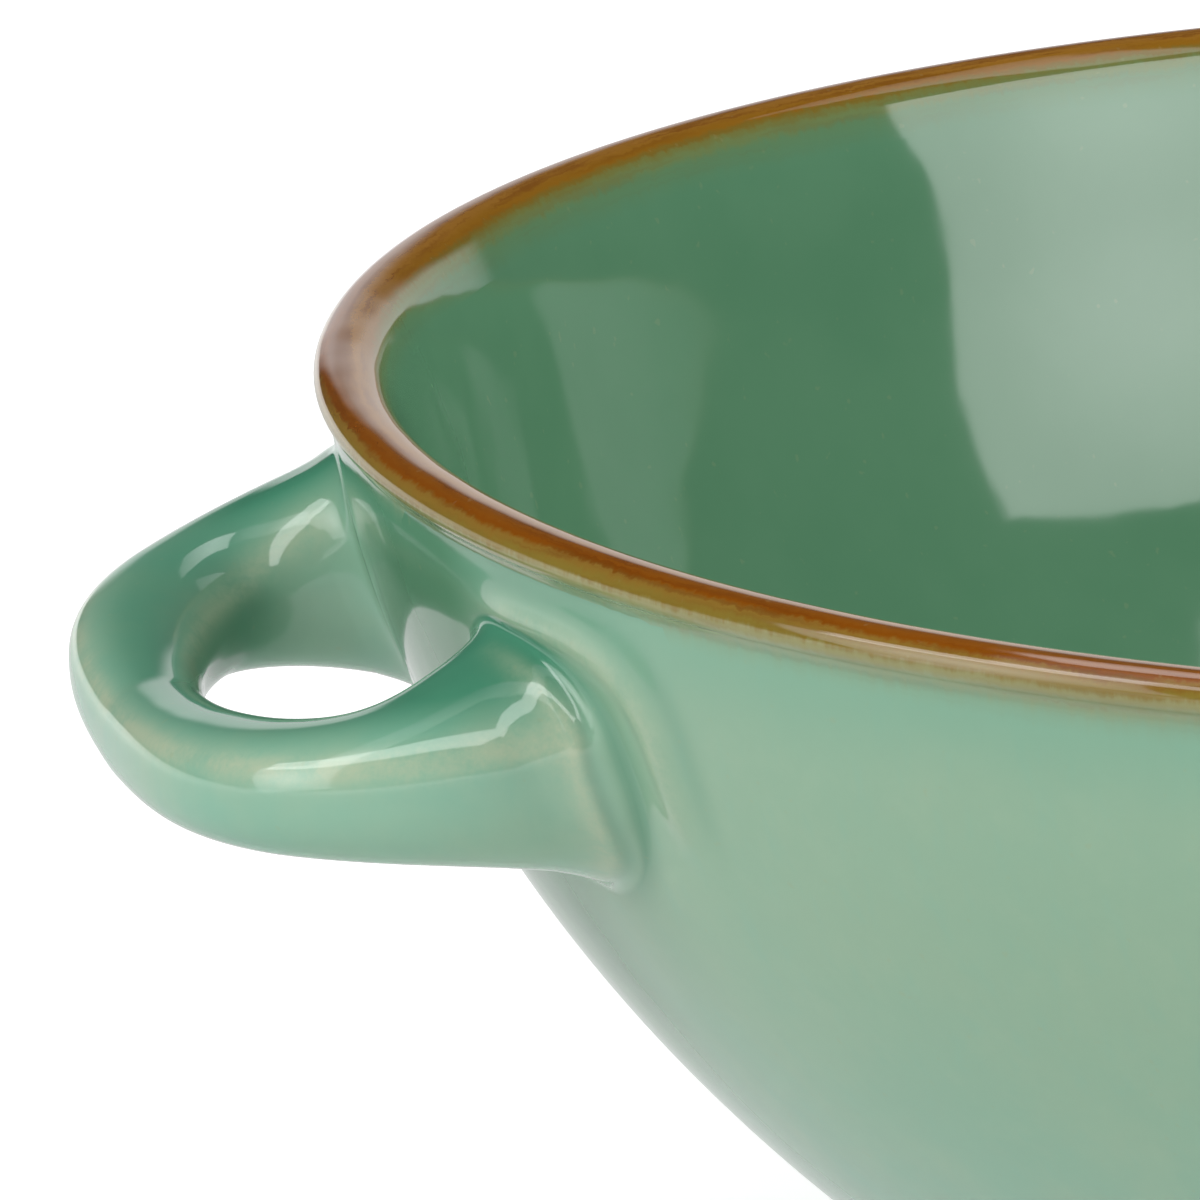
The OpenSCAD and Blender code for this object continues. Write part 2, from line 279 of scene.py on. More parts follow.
def lip_outside(count, inset):
    a = np.linspace(math.pi / 2, 0, count)
    return np.stack([CROWN_R + (LIP_OUT - inset) * np.cos(a), LIP_Z + (CROWN_H - inset) * np.sin(a)], 1)


def lip_underside(count):
    a = -np.linspace(0, math.radians(50), count)
    return np.stack([CROWN_R + LIP_OUT * np.cos(a), LIP_Z + UNDERSIDE_H * np.sin(a)], 1)


def blend_end(points, target, count):
    """Points on from the end of a run to a target, leaving it and arriving smoothly."""
    p, q = points[-1], np.array(target[0])
    d0, d1 = points[-1] - points[-2], np.array(target[1]) - q
    span = np.linalg.norm(q - p)
    d0, d1 = d0 / np.linalg.norm(d0) * span, d1 / np.linalg.norm(d1) * span
    t = np.linspace(0, 1, count)[1:, None]
    return ((2 * t ** 3 - 3 * t ** 2 + 1) * p + (t ** 3 - 2 * t ** 2 + t) * d0
            + (3 * t ** 2 - 2 * t ** 3) * q + (t ** 3 - t ** 2) * d1)


def arc_from(points, index):
    step = np.linalg.norm(np.diff(points, axis=0), axis=1)
    run = np.concatenate([[0], np.cumsum(step)])
    return run - run[index]


def make_bowl():
    wall = outer_wall(FOOT_BORE_R, COAT_OUT_Z, WALL_STEPS)
    seat_out = lip_outside(8, COAT_T)[::-1]
    seat_in = lip_inside(8, COAT_T)[1:]
    inner = inner_wall(COAT_IN_Z, WALL_STEPS)
    base = np.stack([np.linspace(4, FOOT_BORE_R, 8)[:-1], np.full(7, BASE_Z)], 1)
    seat_in_end = [[bore_r(COAT_IN_Z) + COAT_T, COAT_IN_Z]]
    profile = np.concatenate([base, wall, [[wall_r(COAT_OUT_Z) - COAT_T, COAT_OUT_Z]], seat_out, seat_in,
                              seat_in_end, inner])
    z = profile[:, 1]
    inside = np.arange(len(profile)) >= len(profile) - len(inner)
    rim = np.where(inside, (LIP_Z - z) + RUN_IN, (LIP_Z - z) + RUN_OUT)
    ends = np.cumsum([0, len(base), len(wall), 1 + len(seat_out) + len(seat_in) + 1, len(inner)])
    bowl = lathe("bowl_glazed", profile, list(zip(ends[:-1], ends[1:])),
                 values={"rim": rim, "inside": inside.astype(float)},
                 caps=((0, (0, 0, BASE_Z)), (len(profile) - 1, (0, 0, FLOOR_Z))))
    return dress(bowl, "green_glaze", "bowl_body")


def make_coat():
    outside = lip_outside(22, 0)[::-1]
    under = lip_underside(9)
    down = blend_end(under, ((wall_r(COAT_OUT_Z), COAT_OUT_Z),
                             (wall_r(COAT_OUT_Z - 0.1), COAT_OUT_Z - 0.1)), 8)
    outer = np.concatenate([down[::-1], under[::-1][:-1], outside])
    inner = lip_inside(26, 0)[1:]
    zs = np.linspace(LIP_Z, COAT_IN_Z, 9)[1:]
    low = np.stack([bore_r(zs), zs], 1)
    inset = COAT_T - 0.02
    seat = np.concatenate([[[bore_r(COAT_IN_Z) + inset, COAT_IN_Z]], lip_inside(8, inset)[::-1],
                           lip_outside(8, inset)[1:], [[wall_r(COAT_OUT_Z) - inset, COAT_OUT_Z]]])
    profile = np.concatenate([outer, inner, low, seat])
    crown = len(outer) - 1
    run = arc_from(profile, crown)
    inside = (np.arange(len(profile)) > crown).astype(float)
    rim = np.abs(run)
    rim = np.where((inside > 0) & (profile[:, 1] < LIP_Z), (LIP_Z - profile[:, 1]) + RUN_IN, rim)
    rim = np.where((inside < 1) & (profile[:, 1] < LIP_Z), (LIP_Z - profile[:, 1]) + RUN_OUT, rim)
    shown = len(profile) - len(seat)
    coat = lathe("rim_coat_glazed", profile, [(0, shown), (shown, len(profile))], closed=True,
                 values={"rim": rim, "inside": inside})
    return dress(coat, "brown_glaze", "rim_glaze_coat")


def foot_edge(centre, start):
    """A rounded edge of the foot, a quarter turn down from an angle."""
    a = np.linspace(start, start - math.pi / 2, 9)
    return np.stack([centre + FOOT_EDGE_R * np.cos(a), FOOT_EDGE_R + FOOT_EDGE_R * np.sin(a)], 1)


def make_foot():
    inset = FOOT_LEAN + FOOT_EDGE_R
    outside = foot_edge(FOOT_R - inset, 0)
    inside = foot_edge(FOOT_BORE_R + inset, -math.pi / 2)
    top_r = FOOT_R + 0.9
    wall_end = outer_wall(top_r, wall_z(top_r + 0.4), 2)
    up = blend_end(outside[::-1], (wall_end[0], wall_end[1]), 16)[::-1]
    bore_top = np.array([FOOT_BORE_R - 0.55, BASE_Z])
    down = blend_end(inside, (bore_top, bore_top + np.array([-1, 0])), 12)
    hidden = np.array([[FOOT_BORE_R - 0.5, BASE_Z + 0.12], [FOOT_BORE_R, BASE_Z + 0.15],
                       [FOOT_R, wall_z(FOOT_R) + 0.15], [top_r, wall_z(top_r) + 0.12]])
    profile = np.concatenate([up, outside, inside, down, hidden])
    shown = len(profile) - len(hidden)
    foot = lathe("foot_ring_glazed", profile, [(0, shown), (shown, len(profile))], closed=True)
    return dress(foot, "bare_clay", "foot_ring")


# Handles and slip collars
def bump(x, centre, width):
    return np.exp(-((x - centre) / width) ** 2)


def angles():
    return np.arange(SIDES) * 2 * math.pi / SIDES


def outline_ways(a):
    """The arm's outline on the wall at each angle, and the way out from it."""
    end = free_points(np.array([1.0]), a, 0.25)[0]
    ahead = np.roll(end, -1, 0)
    behind = np.roll(end, 1, 0)
    run = ahead[:, 1:] - behind[:, 1:]
    n = np.stack([run[:, 1], -run[:, 0]], 1) / np.linalg.norm(run, axis=1, keepdims=True)
    n = (np.roll(n, 1, 0) + 2 * n + np.roll(n, -1, 0)) / 4
    return end, n / np.linalg.norm(n, axis=1, keepdims=True)


def beside(a, away):
    """Points on the wall, some way out from the arm's outline at each angle."""
    end, n = outline_ways(a)
    w = end[:, 1] + away * n[:, 0]
    z = end[:, 2] + away * n[:, 1]
    return np.stack([wall_u(w, z), w, z], 1)


def farthest(a, most=8.5):
    """How far out a collar's skin may run at each angle, to stay under the brown coat."""
    end, n = outline_ways(a)
    room = (COAT_OUT_Z - 0.2 - end[:, 2]) / np.maximum(n[:, 1], 1e-6)
    return np.where(n[:, 1] > 0.02, np.minimum(most, room), most)


def ridge_share(p):
    """Nearness to the crest of the soft bead that runs around the root on the wall, and the way round it."""
    arc = WALL_R * 0.975 * np.arcsin(np.clip(p[..., 1] / np.hypot(p[..., 0], p[..., 1]), -1, 1))
    x, y = (arc - BEAD_ARC) / BEAD_HALF_W, (p[..., 2] - LIP_Z + BEAD_DROP) / BEAD_HALF_H
    size = (np.abs(x) ** 3 + np.abs(y) ** 3) ** (1 / 3)
    theta = np.arctan2(y, x)
    fade = ease(theta, -0.5, 0.25) * (1 - ease(theta, 1.8, 2.4))
    return bump(size, 1.0, 0.11) * fade, bump(size, 1.27, 0.11) * fade


def reach_at(a):
    """How far out from the arm's outline its slip meets the wall, at each angle round the arm."""
    at, far = np.array([(-180, 1.7), (-135, 1.3), (-90, 0.9), (-65, 0.8), (-45, 1.0), (-20, 1.5), (0, 2.0),
                        (25, 2.0), (45, 1.0), (70, 0.7), (90, 0.6), (135, 1.1)]).T
    out = np.interp(np.degrees(a), at, far, period=360)
    for _ in range(6):
        out = (np.roll(out, 1) + 2 * out + np.roll(out, -1)) / 4
    return out


def root_corner(a):
    """The arm's end ring, with its outer top corner lowered and standing off the wall."""
    corner = arm_points(np.array([1.0]), a)[0]
    out = np.clip((corner[:, 1] - ROOT_W) / (ROOT_T / 2), 0, 1)
    upper = ease(np.sin(a), 0, 0.7)
    corner[:, 1] += (0.9 + 0.5 * upper) * out
    off = (1.0 - 0.6 * upper) * out * ease(np.sin(a), -0.9, -0.2)
    corner[:, 0] = wall_u(corner[:, 1], corner[:, 2], SLIP_T + off)
    return corner


def collar_rows():
    a = angles()
    start = arm_points(np.array([COLLAR_Q]), a)[0]
    corner = root_corner(a)
    face = np.cos(a)
    reach = reach_at(a)
    foot = beside(a, reach)
    weight = 1.15 + 1.05 * np.clip(face, 0, 1) + 0.8 * np.clip(face, 0, 1) * np.clip(np.sin(a), 0, 1)
    rows, lifts = [], []
    for v in np.linspace(0, 1, 19):
        b = (1 - v) ** 2 + 2 * v * (1 - v) * weight + v * v
        p = ((1 - v) ** 2 * start + (2 * v * (1 - v) * weight)[:, None] * corner + v * v * foot) / b[:, None]
        rows.append(p)
        lifts.append(v)
    far = farthest(a)
    for s in np.linspace(0, 1, 26)[1:]:
        rows.append(beside(a, reach + (far - reach) * s))
        lifts.append(1 + s)
    rows = np.array(rows)
    lifts = np.array(lifts)
    n = wall_normals(rows)
    base = 0.03 * np.clip(2.2 - lifts, 0, 1)
    crest = ridge_share(rows)[0]
    lift = BEAD_H * crest * ease(lifts, 0.5, 1.0)[:, None] + base[:, None]
    shoulder = 0.25 * bump(lifts, 0.36, 0.17)[:, None] * np.clip(face + 0.15, 0, 1)[None, :]
    rows = rows + n * lift[..., None]
    side = beside(a, 1.0) - beside(a, 0.0)
    side /= np.linalg.norm(side, axis=1, keepdims=True)
    rows = rows + shoulder[..., None] * (0.8 * side + 0.6 * wall_normals(corner))[None]
    return rows, lifts


def whole_arm():
    """Rings from the tip to the collar's start, then the collar's rows, as one surface."""
    q = COLLAR_Q * np.linspace(0, 1, 56)
    arm = arm_points(q, angles())
    rows, lifts = collar_rows()
    return q, arm, rows, lifts


def surface_normals(rows):
    """Normals of the whole surface, by differences along and around it; it mirrors at the tip."""
    padded = np.concatenate([rows[1:2] * FLIP, rows, rows[-1:]], 0)
    along = padded[2:] - padded[:-2]
    around = np.roll(rows, -1, 1) - np.roll(rows, 1, 1)
    n = np.cross(along, around)
    return n / np.maximum(np.linalg.norm(n, axis=-1, keepdims=True), 1e-9)


def arm_values(q, a, lifts, rows):
    """How thin the glaze lies, and where it pools or is darkened by painted shade, by place on an arm and its
    collar.
    """
    qq = np.concatenate([q, np.full(len(lifts), 1.0)])
    qq, aa = np.meshgrid(qq, a, indexing="ij")
    deg = (np.degrees(aa) + 180) % 360 - 180
    thin = 0.85 * bump(deg, 32 - 8 * qq, 15) + 0.6 * bump(deg, 147, 14)
    # Painted shade darkens the arms' tops, most towards the roots. The sides towards the hole are darker in
    # their middles.
    pool_and_shade = 0.75 * bump(deg, 92, 40) + 0.5 * bump(deg, 84, 42) * ease(qq, 0.62, 0.95)
    pool_and_shade += 0.6 * np.clip(-np.cos(aa), 0, 1) ** 2 * bump(qq, 0.5, 0.24)
    vv = np.concatenate([np.full(len(q), -1.0), lifts])[:, None] + 0 * aa
    thin = thin * np.clip(1 - np.maximum(vv, 0) / 0.6, 0, 1)
    pool_and_shade = pool_and_shade * (1 - ease(vv, 0.86, 1.04))
    outer = np.clip(np.cos(aa) + 0.2, 0, 1)
    thin += 0.75 * bump(vv, 0.30, 0.15) * outer
    # Deeper glaze pools in the groove by the root, and in the dip beyond the bead.
    pool_and_shade += 0.6 * bump(vv, 0.95, 0.12) * outer
    crest, beyond = ridge_share(rows)
    crest, beyond = (np.concatenate([np.zeros((len(q), len(a))), item]) for item in (crest, beyond))
    thin += 0.5 * crest * ease(vv, 0.9, 1.0)
    pool_and_shade += 0.30 * beyond * ease(vv, 0.9, 1.0)
    return np.clip(thin, 0, 1), np.clip(pool_and_shade, 0, 1), ease(vv, 0.5, 1.0)


def place(rows, turn, flip):
    """Points of the right rear arm, taken to the front and to the left side where asked."""
    rows = rows * FLIP if flip else rows
    return rows * np.array([-1, -1, 1]) if turn else rows


def make_handles():
    a = angles()
    q, arm, rows, lifts = whole_arm()
    whole = np.concatenate([arm, rows[1:]], 0)
    normals = surface_normals(whole)
    flat = ease(lifts[1:], 1.55, 1.9)[:, None, None]
    normals[len(arm):] = normals[len(arm):] * (1 - flat) + wall_normals(rows[1:]) * flat
    thin, pool_and_shade, wall = arm_values(q, a, lifts[1:], rows[1:])
    hidden_q = np.linspace(COLLAR_Q, 1, 6)[1:]
    hidden = arm_points(hidden_q, a)
    centre = hidden.mean(1, keepdims=True)
    hidden = centre + (hidden - centre) * 0.985
    arm_n = len(arm)
    last_normals = np.repeat(normals[arm_n - 1:arm_n], len(hidden), 0)
    half = np.concatenate([arm, hidden], 0)
    half_n = np.concatenate([normals[:arm_n], last_normals], 0)
    half_thin = np.concatenate([thin[:arm_n], np.zeros((len(hidden), SIDES))], 0)
    half_pool_and_shade = np.concatenate([pool_and_shade[:arm_n], np.zeros((len(hidden), SIDES))], 0)
    loop, loop_n = (np.concatenate([(item * FLIP)[:0:-1], item], 0)[:, ::-1] for item in (half, half_n))
    loop_thin, loop_pool_and_shade = (np.concatenate([item[:0:-1], item], 0)[:, ::-1]
                            for item in (half_thin, half_pool_and_shade))
    root = np.array([ROOT_U + 0.1, ROOT_W, ROOT_Z])
    made = []
    for name, turn in (("right", False), ("left", True)):
        obj = grid_object(name + "_handle_glazed", place(loop, turn, False),
                          normals=place(loop_n, turn, False), values={"thin": loop_thin, "pool_and_shade": loop_pool_and_shade},
                          caps=((0, place(root * FLIP, turn, False)),
                                (len(loop) - 1, place(root, turn, False))))
        made.append(dress(obj, "green_glaze", name + "_handle"))
        for where, mirror in (("rear", turn), ("front", not turn)):
            made.append(make_collar(name + "_" + where + "_collar", rows, normals[arm_n - 1:],
                                    (thin[arm_n - 1:], pool_and_shade[arm_n - 1:], wall[arm_n - 1:]), turn, mirror))
    return made


def shrunk(ring, share):
    """A ring of points drawn in towards its middle."""
    return ring.mean(0) + (ring - ring.mean(0)) * share


def make_collar(node, rows, normals, values, turn, mirror):
    """One collar: the shown skin, then rings that close it behind and inside the wall."""
    a = angles()
    edge = farthest(a) + 0.6
    sunk = beside(a, edge) - 0.03 * wall_normals(beside(a, edge))
    middle = beside(a, 2.0) - 0.25 * wall_normals(beside(a, 2.0))
    corner = beside(a, -0.3) - 0.3 * wall_normals(beside(a, -0.3))
    inner = shrunk(arm_points(np.array([0.97]), a)[0], 0.93)
    inner = inner - 0.1 * wall_normals(inner)
    back = shrunk(arm_points(np.array([COLLAR_Q]), a)[0], 0.95)
    extra = np.stack([sunk, middle, corner, inner, back])
    full = np.concatenate([rows, extra], 0)
    n_extra = np.stack([wall_normals(sunk), -wall_normals(middle), -wall_normals(corner),
                        -wall_normals(inner), -normals[0]])
    full_n = np.concatenate([normals, n_extra], 0)
    pad = np.zeros((len(extra) - 1, SIDES))
    full, full_n = place(full, turn, mirror), place(full_n, turn, mirror)
    values = [np.concatenate([value, value[-1:], pad], 0) for value in values]
    if not mirror:
        full, full_n = full[:, ::-1], full_n[:, ::-1]
        values = [value[:, ::-1] for value in values]
    obj = grid_object(node + "_glazed", full, wrap_rows=True, normals=full_n,
                      values=dict(zip(("thin", "pool_and_shade", "wall"), values)))
    return dress(obj, "green_glaze", node)


# Materials
class Nodes:
    """Short calls for building the node tree of a material, a world or a lamp."""

    def __init__(self, owner, clear=True):
        owner.use_nodes = True
        self.owner = owner
        self.tree = owner.node_tree
        if clear:
            self.tree.nodes.clear()

    def add(self, kind, **inputs):
        node = self.tree.nodes.new(kind)
        for key, value in inputs.items():
            if key.startswith("set_"):
                setattr(node, key[4:], value)
        for key, value in inputs.items():
            if not key.startswith("set_"):
                numbered = key[0] == "i" and key[1:].isdigit()
                self.put(node, int(key[1:]) if numbered else key.replace("_", " "), value)
        return node

    def put(self, node, key, value):
        socket = node.inputs[key]
        if isinstance(value, bpy.types.NodeSocket):
            self.tree.links.new(value, socket)
        else:
            socket.default_value = value

    def math(self, operation, a, b=0.0, clamp=False):
        return self.add("ShaderNodeMath", set_operation=operation, set_use_clamp=clamp, i0=a, i1=b).outputs[0]

    def mix(self, share, a, b):
        node = self.add("ShaderNodeMix", set_data_type="RGBA", i0=share, i6=a, i7=b)
        return node.outputs[2]

    def blend(self, share, a, b):
        return self.add("ShaderNodeMix", i0=share, i2=a, i3=b).outputs[0]

    def noise(self, vector, scale, detail=2.0, rough=0.5, distortion=0.0):
        node = self.add("ShaderNodeTexNoise", Vector=vector, Scale=scale, Detail=detail, Roughness=rough,
                        Distortion=distortion)
        return node.outputs["Fac"]

    def scaled(self, vector, x, y, z, move=0.0):
        return self.add("ShaderNodeMapping", set_vector_type="POINT", Vector=vector, Scale=(x, y, z),
                        Location=(move, move * 0.7, -move)).outputs[0]

    def ramp(self, value, *stops):
        node = self.add("ShaderNodeValToRGB", i0=value)
        band = node.color_ramp
        band.interpolation = "EASE"
        while len(band.elements) < len(stops):
            band.elements.new(1.0)
        for element, (at, colour) in zip(band.elements, stops):
            element.position = at
            element.color = colour
        return node.outputs[0]

    def steps(self, value, low, high, out_low=0.0, out_high=1.0, kind="SMOOTHSTEP"):
        node = self.add("ShaderNodeMapRange", set_interpolation_type=kind, Value=value)
        for key, number in (("From Min", low), ("From Max", high), ("To Min", out_low), ("To Max", out_high)):
            self.put(node, key, number)
        return node.outputs[0]

    def attribute(self, name):
        return self.add("ShaderNodeAttribute", set_attribute_name=name).outputs["Fac"]

    def place_mm(self):
        return self.add("ShaderNodeVectorMath", set_operation="MULTIPLY",
                        i0=self.add("ShaderNodeTexCoord").outputs["Object"], i1=(1 / MM,) * 3).outputs[0]

    def finish(self, **inputs):
        """A coated shader with these inputs, put out as the material's surface."""
        shader = self.add("ShaderNodeBsdfPrincipled", IOR=1.5, **inputs)
        self.add("ShaderNodeOutputMaterial", Surface=shader.outputs[0])
        return self.owner


def rgb(r, g, b):
    """A linear colour from an 8-bit one."""
    def line(c):
        c /= 255
        return c / 12.92 if c <= 0.04045 else ((c + 0.055) / 1.055) ** 2.4
    return (line(r), line(g), line(b), 1.0)


def glaze(name, rim=False):
    """The green glaze; with rim, the brown coat's glaze runs over it by distance from the crown."""
    n = Nodes(bpy.data.materials.new(name))
    place_mm = n.place_mm()
    blotch = n.noise(place_mm, 0.11, 3.0, 0.55)
    cloud = n.noise(n.scaled(place_mm, 1, 1, 1, 31.0), 0.32, 3.0, 0.6)
    streak = n.noise(n.scaled(place_mm, 1.0, 1.0, 0.16), 0.9, 2.0, 0.55)
    grain = n.noise(place_mm, 3.2, 2.0, 0.6)
    sides = n.add("ShaderNodeSeparateXYZ", Vector=place_mm)
    wall = n.math("SUBTRACT", 1.0, n.attribute("inside")) if rim else n.attribute("wall")
    drop = n.math("SUBTRACT", LIP_Z + RUN_OUT, sides.outputs[2])
    upper = n.math("MULTIPLY", n.steps(drop, 16.0, 40.0, 1.0, 0.0), wall)
    base = n.mix(n.steps(blotch, 0.3, 0.7), rgb(124, 170, 147), rgb(137, 172, 147))
    base = n.mix(n.math("MULTIPLY", upper, 0.75), base, rgb(133, 164, 137))
    base = n.mix(n.math("MULTIPLY", n.steps(cloud, 0.45, 0.75), 0.14), base, rgb(148, 173, 146))
    base = n.mix(n.math("MULTIPLY", n.steps(streak, 0.5, 0.8), 0.15), base, rgb(116, 168, 148))
    teal = n.math("MULTIPLY", n.steps(drop, 3.2, 9.0, 0.6, 0.0), wall)
    base = n.mix(teal, base, rgb(108, 158, 134))
    # Painted shade: the wall between each handle's arms, under its loop, is darker green.
    shade_between_arms = n.math("MULTIPLY", n.steps(n.math("ABSOLUTE", sides.outputs[1]), 10.5, 17.0, 1.0, 0.0),
                     n.steps(sides.outputs[2], 22.0, 36.0))
    base = n.mix(n.math("MULTIPLY", shade_between_arms, n.math("MULTIPLY", wall, 0.8)), base, rgb(74, 124, 92))
    thin = n.attribute("thin")
    pool_and_shade = n.attribute("pool_and_shade")
    ragged = n.math("ADD", n.math("MULTIPLY", cloud, 0.9), n.math("MULTIPLY", grain, 0.35))
    thin = n.math("MULTIPLY", thin, n.steps(ragged, 0.34, 0.78, 0.25, 1.15), clamp=True)
    # Deep green where the glaze pools, and painted shade on the arms' tops.
    base = n.mix(n.math("MULTIPLY", pool_and_shade, 0.9), base, rgb(56, 126, 98))
    base = n.mix(n.math("MULTIPLY", thin, 0.75), base, rgb(172, 181, 153))
    if rim:
        within = n.mix(n.steps(blotch, 0.3, 0.7), rgb(78, 122, 92), rgb(82, 125, 95))
        base = n.mix(n.attribute("inside"), base, within)
        base = rim_colours(n, place_mm, base)
    fleck = n.steps(n.noise(n.scaled(place_mm, 1, 1, 1, 9.0), 1.7, 1.0, 0.4), 0.72, 0.8)
    base = n.mix(n.math("MULTIPLY", fleck, 0.12), base, rgb(150, 150, 110))
    wave = n.noise(n.scaled(place_mm, 1, 1, 1, 5.0), 0.16, 1.0, 0.4)
    peel = n.noise(place_mm, 0.9, 1.0, 0.5)
    height = n.math("ADD", wave, n.math("MULTIPLY", peel, 0.02))
    bumped = n.add("ShaderNodeBump", Strength=0.6, Distance=0.00010, Height=height).outputs[0]
    return n.finish(Base_Color=base, Roughness=0.07, Normal=bumped)


def rim_colours(n, place_mm, base):
    """Brown on the crown, amber and olive below, ending in fine streaks over paler green."""
    run = n.attribute("rim")
    inside = n.attribute("inside")
    fine = n.noise(n.scaled(place_mm, 1.0, 1.0, 0.18, 3.0), 1.9, 3.0, 0.6)
    slow = n.noise(n.scaled(place_mm, 1.0, 1.0, 0.0, 17.0), 0.07, 2.0, 0.5)
    ragged = n.math("MULTIPLY", n.math("SUBTRACT", fine, 0.5), 0.65)
    sway = n.math("MULTIPLY", n.math("SUBTRACT", slow, 0.5), 0.9)
    run = n.math("ADD", run, n.math("ADD", ragged, sway))
    outer = n.ramp(n.math("DIVIDE", run, 4.0, clamp=True), (0.0, rgb(122, 78, 36)), (0.10, rgb(126, 72, 12)),
                   (0.20, rgb(122, 66, 6)), (0.29, rgb(128, 98, 38)), (0.42, rgb(124, 106, 42)),
                   (0.53, rgb(136, 134, 88)), (0.68, rgb(138, 150, 112)), (0.90, rgb(124, 152, 122)))
    inner = n.ramp(n.math("DIVIDE", run, 4.0, clamp=True), (0.0, rgb(122, 78, 36)), (0.12, rgb(140, 96, 34)),
                   (0.36, rgb(126, 86, 18)), (0.45, rgb(110, 92, 34)), (0.52, rgb(104, 106, 56)),
                   (0.62, rgb(100, 116, 72)), (0.74, rgb(88, 120, 84)))
    colours = n.mix(inside, outer, inner)
    split = n.add("ShaderNodeSeparateXYZ", Vector=n.scaled(place_mm, 0.14, 0.14, 0.0))
    lines = n.noise(n.add("ShaderNodeCombineXYZ", X=n.math("MULTIPLY", run, 2.6), Y=split.outputs[0],
                          Z=split.outputs[1]).outputs[0], 1.0, 3.0, 0.6)
    lines = n.math("MULTIPLY", n.steps(lines, 0.44, 0.66), n.steps(run, 0.9, 1.6, 0.55, 0.12))
    colours = n.mix(lines, colours, rgb(98, 50, 6))
    over = n.steps(run, 2.5, 4.3, 1.0, 0.0)
    return n.mix(over, base, colours)


def clay(name):
    """Buff clay, with the green glaze over its sides down to a wavy line above the table."""
    n = Nodes(bpy.data.materials.new(name))
    place_mm = n.place_mm()
    height = n.add("ShaderNodeSeparateXYZ", Vector=place_mm).outputs[2]
    sway = n.noise(n.scaled(place_mm, 1, 1, 0.0), 0.12, 2.0, 0.5)
    line = n.math("ADD", height, n.math("MULTIPLY", n.math("SUBTRACT", sway, 0.5), 1.1))
    glazed = n.steps(line, 0.95, 1.05)
    grain = n.noise(place_mm, 2.4, 4.0, 0.6)
    bare = n.mix(n.steps(grain, 0.35, 0.7), rgb(196, 172, 136), rgb(216, 196, 162))
    speck = n.steps(n.noise(place_mm, 5.5, 1.0, 0.4), 0.70, 0.76)
    bare = n.mix(n.math("MULTIPLY", speck, 0.5), bare, rgb(120, 92, 62))
    edge = n.math("MULTIPLY", n.steps(line, 0.8, 1.0), n.steps(line, 1.1, 1.9, 1.0, 0.0))
    blotch = n.noise(place_mm, 0.11, 3.0, 0.55)
    green = n.mix(n.steps(blotch, 0.3, 0.7), rgb(124, 170, 147), rgb(137, 172, 147))
    green = n.mix(n.math("MULTIPLY", edge, 0.55), green, rgb(150, 132, 88))
    colour = n.mix(glazed, bare, green)
    rough = n.math("ADD", n.math("MULTIPLY", n.math("SUBTRACT", 1.0, glazed), 0.72), 0.08)
    bumped = n.add("ShaderNodeBump", Strength=0.4, Distance=0.00012, Height=n.math(
        "ADD", n.math("MULTIPLY", glazed, 0.8), n.math("MULTIPLY", grain, n.math("SUBTRACT", 1.0, glazed))))
    return n.finish(Base_Color=colour, Roughness=rough, Normal=bumped.outputs[0])


def paint(obj, material):
    obj.data.materials.clear()
    obj.data.materials.append(material)


# Stage, light and camera
# Mirrored brightness of the backdrop and of the dark around it, and the way to its middle
BACKDROP, DARK, BACKDROP_WAY = 1.1, 0.04, (0.48, 0.877, 0.0)


def make_stage():
    mesh = bpy.data.meshes.new("floor")
    size = 4.0
    corners = [(-size, -size, 0), (size, -size, 0), (size, size, 0), (-size, size, 0)]
    mesh.from_pydata(corners, [], [(0, 1, 2, 3)])
    floor = bpy.data.objects.new("floor", mesh)
    bpy.context.scene.collection.objects.link(floor)
    n = Nodes(bpy.data.materials.new("floor_white"))
    path = n.add("ShaderNodeLightPath")
    mirrored = path.outputs["Is Glossy Ray"]
    seen = n.math("MAXIMUM", path.outputs["Is Camera Ray"], path.outputs["Is Transmission Ray"])
    # Seen in the bowl's mirror, the floor glows less near the bowl: a painted shadow of the bowl around its
    # foot.
    away = n.add("ShaderNodeVectorMath", set_operation="LENGTH",
                 i0=n.add("ShaderNodeTexCoord").outputs["Object"])
    far = n.steps(away.outputs["Value"], 0.18, 0.50, 0.47, 1.0)
    seen = n.math("ADD", n.math("MULTIPLY", seen, 0.5), n.math("MULTIPLY", mirrored, far))
    white = n.mix(mirrored, (0.82, 0.82, 0.82, 1), (0.38, 0.38, 0.38, 1))
    diffuse = n.add("ShaderNodeBsdfDiffuse", Color=white)
    glow = n.add("ShaderNodeEmission", Color=(1, 1, 1, 1), Strength=seen)
    both = n.add("ShaderNodeAddShader", i0=diffuse.outputs[0], i1=glow.outputs[0])
    n.add("ShaderNodeOutputMaterial", Surface=both.outputs[0])
    paint(floor, n.owner)


def make_world():
    """White to the camera, dim to the bowl, and a low bright backdrop in its mirror behind it."""
    world = bpy.data.worlds.new("studio")
    bpy.context.scene.world = world
    n = Nodes(world)
    path = n.add("ShaderNodeLightPath")
    way = n.add("ShaderNodeTexCoord").outputs["Generated"]
    level = n.steps(n.add("ShaderNodeSeparateXYZ", Vector=way).outputs[2], 0.20, 0.34, BACKDROP, DARK)
    aside = n.add("ShaderNodeVectorMath", set_operation="DOT_PRODUCT", i0=way, i1=BACKDROP_WAY)
    behind = n.steps(aside.outputs["Value"], 0.84, 0.89, DARK, level)
    low = n.blend(path.outputs["Is Glossy Ray"], 0.19, behind)
    back = n.add("ShaderNodeBackground", Strength=n.blend(path.outputs["Is Camera Ray"], low, 1.0))
    n.add("ShaderNodeOutputWorld", Surface=back.outputs[0])


